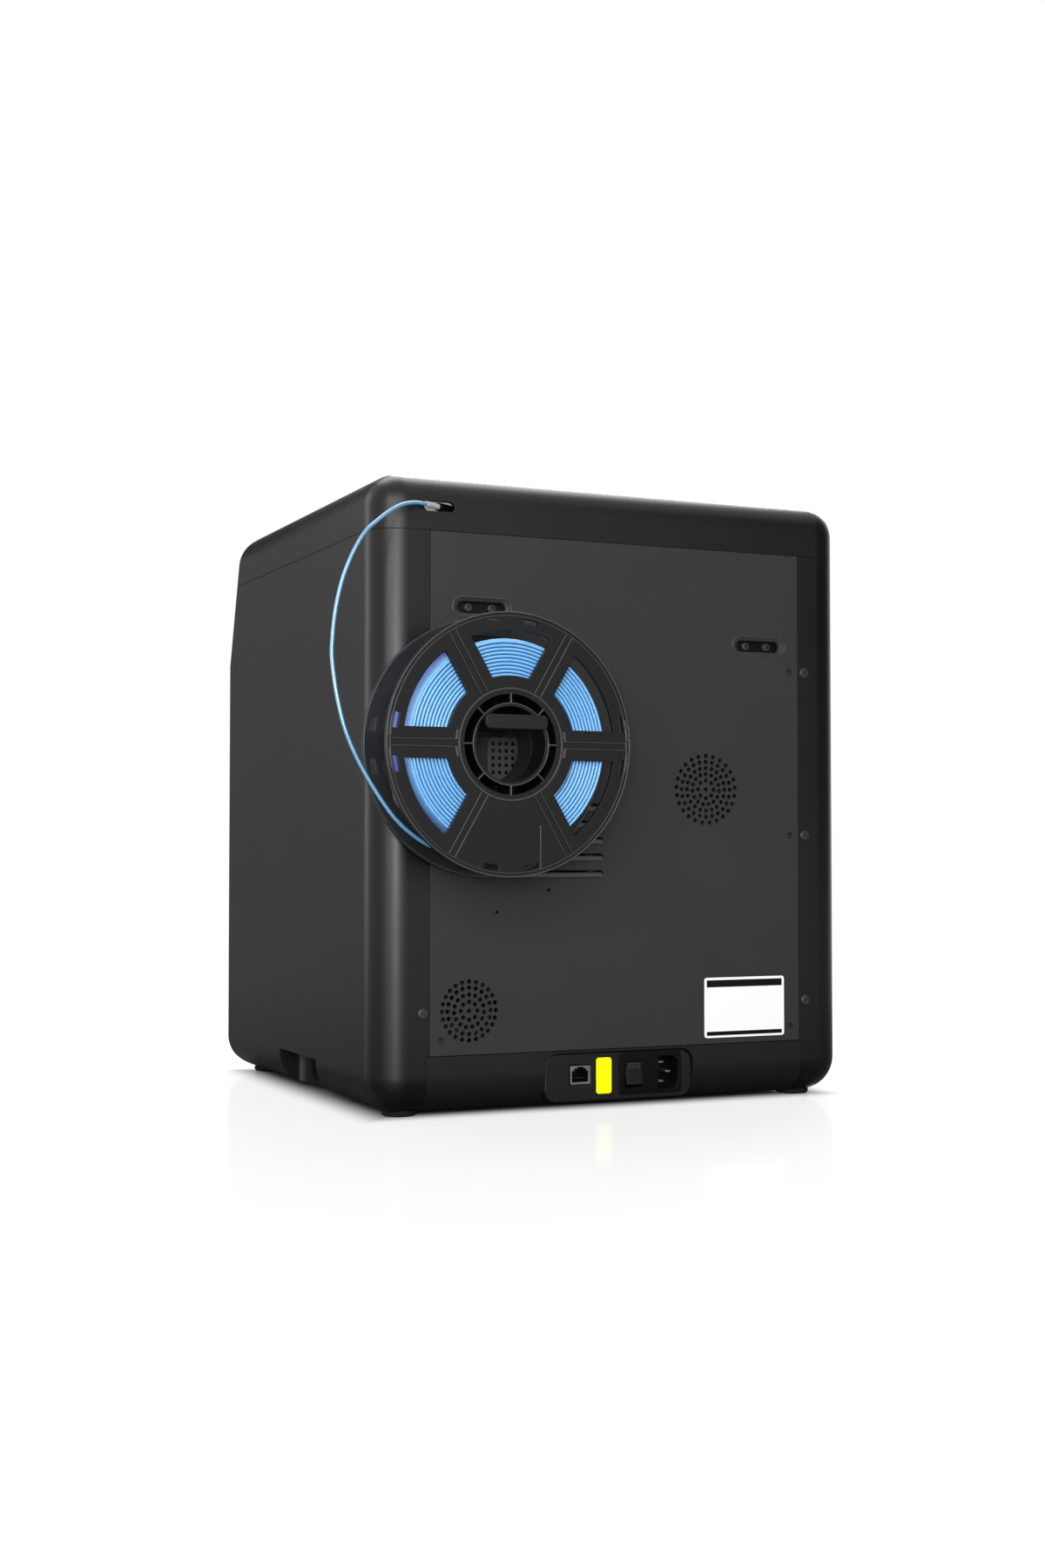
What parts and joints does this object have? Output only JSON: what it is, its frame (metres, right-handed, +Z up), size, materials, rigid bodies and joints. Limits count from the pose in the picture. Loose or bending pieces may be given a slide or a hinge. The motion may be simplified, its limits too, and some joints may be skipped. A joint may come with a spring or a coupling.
{
  "type": "fdm printer",
  "caption": "Enclosed desktop filament printer seen from the rear: dark grey housing, spool of light blue filament on a rear holder, door, lid and motion system",
  "frame": {"origin": "on the floor under the middle of the box around the object, without the free filament", "axes": "+X is to the right as seen from the front, +Y to the rear where the spool hangs, +Z up"},
  "size_m": [0.423, 0.469, 0.453],
  "materials": {
    "shell_plastic": "fine matte texture",
    "dark_plastic": "satin",
    "spool_plastic": "satin",
    "smoked_acrylic": "polished",
    "filament_plastic": "silky",
    "tube_plastic": "satin",
    "board_laminate": "satin",
    "black_rubber": "matte",
    "black_steel": "black oxide",
    "bright_steel": "ground",
    "motor_steel": "satin",
    "frame_aluminium": "plain",
    "coated_plate": "textured",
    "nozzle_brass": "machined"
  },
  "bodies": {
    "housing": {"left_side_shell": "shell_plastic", "right_side_shell": "shell_plastic", "top_cover": "shell_plastic", "rear_panel": "shell_plastic", "base_tray": "dark_plastic", "rear_bar": "dark_plastic", "connector_plate": "dark_plastic", "power_inlet": "dark_plastic", "front_frame": "dark_plastic", "spool_holder": "dark_plastic", "exhaust_fan_frame": "dark_plastic", "board_fan_frame": "dark_plastic", "left_tensioner": "dark_plastic", "right_tensioner": "dark_plastic", "touch_screen": "smoked_acrylic", "filament_strand": "filament_plastic", "guide_tube": "tube_plastic", "control_board": "board_laminate", "front_left_foot": "black_rubber", "front_right_foot": "black_rubber", "rear_left_foot": "black_rubber", "rear_right_foot": "black_rubber", "left_belt": "black_rubber", "right_belt": "black_rubber", "rear_screw_1": "black_steel", "rear_screw_2": "black_steel", "rear_screw_3": "black_steel", "rear_screw_4": "black_steel", "rear_screw_5": "black_steel", "rear_screw_6": "black_steel", "ethernet_jack": "bright_steel", "left_y_rod": "bright_steel", "right_y_rod": "bright_steel", "left_z_rod": "bright_steel", "right_z_rod": "bright_steel", "left_motor": "motor_steel", "right_motor": "motor_steel", "z_motor": "motor_steel", "gantry_frame": "frame_aluminium", "chamber_floor": "frame_aluminium", "power_supply": "frame_aluminium"},
    "lid": {"top_lid": "smoked_acrylic"},
    "door": {"door_frame": "dark_plastic", "door_glass": "smoked_acrylic", "door_handle": "dark_plastic", "upper_hinge_pin": "bright_steel", "lower_hinge_pin": "bright_steel"},
    "rocker": {"power_rocker": "dark_plastic"},
    "spool": {"spool_front_half": "spool_plastic", "spool_rear_half": "spool_plastic", "filament_core": "filament_plastic", "filament_winding": "filament_plastic"},
    "exhaust_rotor": {"exhaust_fan_rotor": "dark_plastic"},
    "board_rotor": {"board_fan_rotor": "dark_plastic"},
    "gantry": {"gantry_beam": "frame_aluminium"},
    "head": {"print_head": "dark_plastic", "nozzle": "nozzle_brass"},
    "bed": {"bed_carriage": "frame_aluminium", "build_plate": "coated_plate"},
    "screw": {"lead_screw": "bright_steel"}
  },
  "joints": [
    {"name": "lid_lift", "type": "slide", "parent": "housing", "child": "lid", "axis": [0, 0, 1], "range_m": [0, 0.1]},
    {"name": "door_hinge", "type": "hinge", "parent": "housing", "child": "door", "pos_m": [-0.141, -0.2128, 0.2275], "axis": [0, 0, -1], "range_deg": [0, 120]},
    {"name": "power_switch", "type": "hinge", "parent": "housing", "child": "rocker", "pos_m": [-0.01595, 0.159, 0.0241], "axis": [-1, 0, 0], "range_deg": [0, 16]},
    {"name": "spool_spin", "type": "hinge", "parent": "housing", "child": "spool", "pos_m": [0.108, 0.2005, 0.259], "axis": [0, 1, 0], "continuous": true},
    {"name": "exhaust_fan_spin", "type": "hinge", "parent": "housing", "child": "exhaust_rotor", "pos_m": [-0.077, 0.1512, 0.2323], "axis": [0, 1, 0], "continuous": true},
    {"name": "board_fan_spin", "type": "hinge", "parent": "housing", "child": "board_rotor", "pos_m": [0.1138, 0.1537, 0.0743], "axis": [0, 1, 0], "continuous": true},
    {"name": "gantry_y", "type": "slide", "parent": "housing", "child": "gantry", "axis": [0, 1, 0], "range_m": [-0.11, 0.11]},
    {"name": "head_x", "type": "slide", "parent": "gantry", "child": "head", "axis": [1, 0, 0], "range_m": [-0.105, 0.105]},
    {"name": "bed_z", "type": "slide", "parent": "housing", "child": "bed", "axis": [0, 0, 1], "range_m": [0, 0.212]},
    {"name": "lead_screw_turn", "type": "hinge", "parent": "housing", "child": "screw", "pos_m": [-0.007, 0.114, 0.2], "axis": [0, 0, 1], "continuous": true}
  ],
  "couplings": [
    {"joint": "lead_screw_turn", "follows": "bed_z", "rad_per_m": 785.4}
  ]
}
